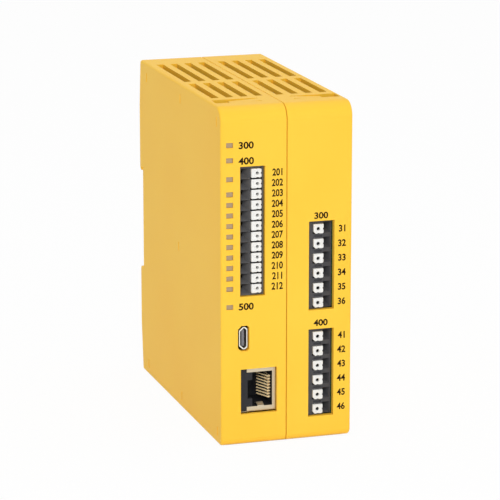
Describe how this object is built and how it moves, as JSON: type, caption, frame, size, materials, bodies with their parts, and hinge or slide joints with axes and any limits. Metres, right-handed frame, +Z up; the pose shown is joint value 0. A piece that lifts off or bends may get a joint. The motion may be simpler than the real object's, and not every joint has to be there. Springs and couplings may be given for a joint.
{
  "type": "safety relay",
  "caption": "Rail-mount safety relay: moulded housing with pluggable push-in terminals, press buttons, status lights, data ports and a sprung rail latch.",
  "frame": {"origin": "middle of the footprint, on the plane that the housing stands on", "axes": "+X across the front to the right, +Y from the front to the rail side, +Z up"},
  "size_m": [0.045, 0.0998, 0.1134],
  "materials": {
    "housing": "moulded, fine satin texture",
    "button": "moulded, satin",
    "plug": "moulded, satin",
    "header": "moulded, satin",
    "spring_steel": "rolled strip",
    "tinned_copper": "tin plated",
    "latch": "moulded, satin",
    "circuit_board": "solder resist",
    "light_guide": "frosted",
    "lamp": "clear cast",
    "jack_moulding": "moulded, satin",
    "usb_moulding": "moulded, satin",
    "port_shield": "nickel plated",
    "gold_contact": "gold plated",
    "link_moulding": "moulded, satin",
    "chip": "moulded resin",
    "capacitor_can": "drawn, bright",
    "relay_case": "moulded, polished"
  },
  "bodies": {
    "housing": {"capacitors": "capacitor_can", "latch_spring": "spring_steel", "left_shell": "housing", "light_guide": "light_guide", "link_plug": "link_moulding", "link_socket": "link_moulding", "logic_board": "circuit_board", "logic_chips": "chip", "lower_header": "header", "network_jack_body": "jack_moulding", "network_jack_contacts": "gold_contact", "network_jack_shield": "port_shield", "output_header_pins": "tinned_copper", "relay_1": "relay_case", "relay_2": "relay_case", "relay_3": "relay_case", "relay_4": "relay_case", "relay_board": "circuit_board", "right_shell": "housing", "signal_header": "header", "signal_header_pins": "tinned_copper", "status_lamps": "lamp", "upper_header": "header", "usb_shell": "port_shield", "usb_tongue": "usb_moulding"},
    "rail_latch": {"rail_latch": "latch"},
    "signal_plug": {"signal_clamp_springs": "spring_steel", "signal_current_bars": "tinned_copper", "signal_plug": "plug"},
    "upper_plug": {"upper_clamp_springs": "spring_steel", "upper_current_bars": "tinned_copper", "upper_plug": "plug"},
    "lower_plug": {"lower_clamp_springs": "spring_steel", "lower_current_bars": "tinned_copper", "lower_plug": "plug"},
    "lower_button_01": {"lower_button_01": "button"},
    "lower_button_02": {"lower_button_02": "button"},
    "lower_button_03": {"lower_button_03": "button"},
    "lower_button_04": {"lower_button_04": "button"},
    "lower_button_05": {"lower_button_05": "button"},
    "lower_button_06": {"lower_button_06": "button"},
    "signal_button_01": {"signal_button_01": "button"},
    "signal_button_02": {"signal_button_02": "button"},
    "signal_button_03": {"signal_button_03": "button"},
    "signal_button_04": {"signal_button_04": "button"},
    "signal_button_05": {"signal_button_05": "button"},
    "signal_button_06": {"signal_button_06": "button"},
    "signal_button_07": {"signal_button_07": "button"},
    "signal_button_08": {"signal_button_08": "button"},
    "signal_button_09": {"signal_button_09": "button"},
    "signal_button_10": {"signal_button_10": "button"},
    "signal_button_11": {"signal_button_11": "button"},
    "signal_button_12": {"signal_button_12": "button"},
    "upper_button_01": {"upper_button_01": "button"},
    "upper_button_02": {"upper_button_02": "button"},
    "upper_button_03": {"upper_button_03": "button"},
    "upper_button_04": {"upper_button_04": "button"},
    "upper_button_05": {"upper_button_05": "button"},
    "upper_button_06": {"upper_button_06": "button"}
  },
  "joints": [
    {"name": "latch_slide", "type": "slide", "parent": "housing", "child": "rail_latch", "axis": [0, 0, -1], "range_m": [0, 0.003], "stiffness_N_per_m": 600, "springref_m": -0.002, "deforming": ["latch_spring"]},
    {"name": "signal_plug_pull", "type": "slide", "parent": "housing", "child": "signal_plug", "axis": [0, -1, 0], "range_m": [0, 0.02]},
    {"name": "upper_plug_pull", "type": "slide", "parent": "housing", "child": "upper_plug", "axis": [0, -1, 0], "range_m": [0, 0.02]},
    {"name": "lower_plug_pull", "type": "slide", "parent": "housing", "child": "lower_plug", "axis": [0, -1, 0], "range_m": [0, 0.02]},
    {"name": "lower_button_01_press", "type": "slide", "parent": "lower_plug", "child": "lower_button_01", "axis": [0, 1, 0], "range_m": [0, 0.0012], "stiffness_N_per_m": 2000, "springref_m": -0.0005},
    {"name": "lower_button_02_press", "type": "slide", "parent": "lower_plug", "child": "lower_button_02", "axis": [0, 1, 0], "range_m": [0, 0.0012], "stiffness_N_per_m": 2000, "springref_m": -0.0005},
    {"name": "lower_button_03_press", "type": "slide", "parent": "lower_plug", "child": "lower_button_03", "axis": [0, 1, 0], "range_m": [0, 0.0012], "stiffness_N_per_m": 2000, "springref_m": -0.0005},
    {"name": "lower_button_04_press", "type": "slide", "parent": "lower_plug", "child": "lower_button_04", "axis": [0, 1, 0], "range_m": [0, 0.0012], "stiffness_N_per_m": 2000, "springref_m": -0.0005},
    {"name": "lower_button_05_press", "type": "slide", "parent": "lower_plug", "child": "lower_button_05", "axis": [0, 1, 0], "range_m": [0, 0.0012], "stiffness_N_per_m": 2000, "springref_m": -0.0005},
    {"name": "lower_button_06_press", "type": "slide", "parent": "lower_plug", "child": "lower_button_06", "axis": [0, 1, 0], "range_m": [0, 0.0012], "stiffness_N_per_m": 2000, "springref_m": -0.0005},
    {"name": "signal_button_01_press", "type": "slide", "parent": "signal_plug", "child": "signal_button_01", "axis": [0, 1, 0], "range_m": [0, 0.0012], "stiffness_N_per_m": 2000, "springref_m": -0.0005},
    {"name": "signal_button_02_press", "type": "slide", "parent": "signal_plug", "child": "signal_button_02", "axis": [0, 1, 0], "range_m": [0, 0.0012], "stiffness_N_per_m": 2000, "springref_m": -0.0005},
    {"name": "signal_button_03_press", "type": "slide", "parent": "signal_plug", "child": "signal_button_03", "axis": [0, 1, 0], "range_m": [0, 0.0012], "stiffness_N_per_m": 2000, "springref_m": -0.0005},
    {"name": "signal_button_04_press", "type": "slide", "parent": "signal_plug", "child": "signal_button_04", "axis": [0, 1, 0], "range_m": [0, 0.0012], "stiffness_N_per_m": 2000, "springref_m": -0.0005},
    {"name": "signal_button_05_press", "type": "slide", "parent": "signal_plug", "child": "signal_button_05", "axis": [0, 1, 0], "range_m": [0, 0.0012], "stiffness_N_per_m": 2000, "springref_m": -0.0005},
    {"name": "signal_button_06_press", "type": "slide", "parent": "signal_plug", "child": "signal_button_06", "axis": [0, 1, 0], "range_m": [0, 0.0012], "stiffness_N_per_m": 2000, "springref_m": -0.0005},
    {"name": "signal_button_07_press", "type": "slide", "parent": "signal_plug", "child": "signal_button_07", "axis": [0, 1, 0], "range_m": [0, 0.0012], "stiffness_N_per_m": 2000, "springref_m": -0.0005},
    {"name": "signal_button_08_press", "type": "slide", "parent": "signal_plug", "child": "signal_button_08", "axis": [0, 1, 0], "range_m": [0, 0.0012], "stiffness_N_per_m": 2000, "springref_m": -0.0005},
    {"name": "signal_button_09_press", "type": "slide", "parent": "signal_plug", "child": "signal_button_09", "axis": [0, 1, 0], "range_m": [0, 0.0012], "stiffness_N_per_m": 2000, "springref_m": -0.0005},
    {"name": "signal_button_10_press", "type": "slide", "parent": "signal_plug", "child": "signal_button_10", "axis": [0, 1, 0], "range_m": [0, 0.0012], "stiffness_N_per_m": 2000, "springref_m": -0.0005},
    {"name": "signal_button_11_press", "type": "slide", "parent": "signal_plug", "child": "signal_button_11", "axis": [0, 1, 0], "range_m": [0, 0.0012], "stiffness_N_per_m": 2000, "springref_m": -0.0005},
    {"name": "signal_button_12_press", "type": "slide", "parent": "signal_plug", "child": "signal_button_12", "axis": [0, 1, 0], "range_m": [0, 0.0012], "stiffness_N_per_m": 2000, "springref_m": -0.0005},
    {"name": "upper_button_01_press", "type": "slide", "parent": "upper_plug", "child": "upper_button_01", "axis": [0, 1, 0], "range_m": [0, 0.0012], "stiffness_N_per_m": 2000, "springref_m": -0.0005},
    {"name": "upper_button_02_press", "type": "slide", "parent": "upper_plug", "child": "upper_button_02", "axis": [0, 1, 0], "range_m": [0, 0.0012], "stiffness_N_per_m": 2000, "springref_m": -0.0005},
    {"name": "upper_button_03_press", "type": "slide", "parent": "upper_plug", "child": "upper_button_03", "axis": [0, 1, 0], "range_m": [0, 0.0012], "stiffness_N_per_m": 2000, "springref_m": -0.0005},
    {"name": "upper_button_04_press", "type": "slide", "parent": "upper_plug", "child": "upper_button_04", "axis": [0, 1, 0], "range_m": [0, 0.0012], "stiffness_N_per_m": 2000, "springref_m": -0.0005},
    {"name": "upper_button_05_press", "type": "slide", "parent": "upper_plug", "child": "upper_button_05", "axis": [0, 1, 0], "range_m": [0, 0.0012], "stiffness_N_per_m": 2000, "springref_m": -0.0005},
    {"name": "upper_button_06_press", "type": "slide", "parent": "upper_plug", "child": "upper_button_06", "axis": [0, 1, 0], "range_m": [0, 0.0012], "stiffness_N_per_m": 2000, "springref_m": -0.0005}
  ]
}
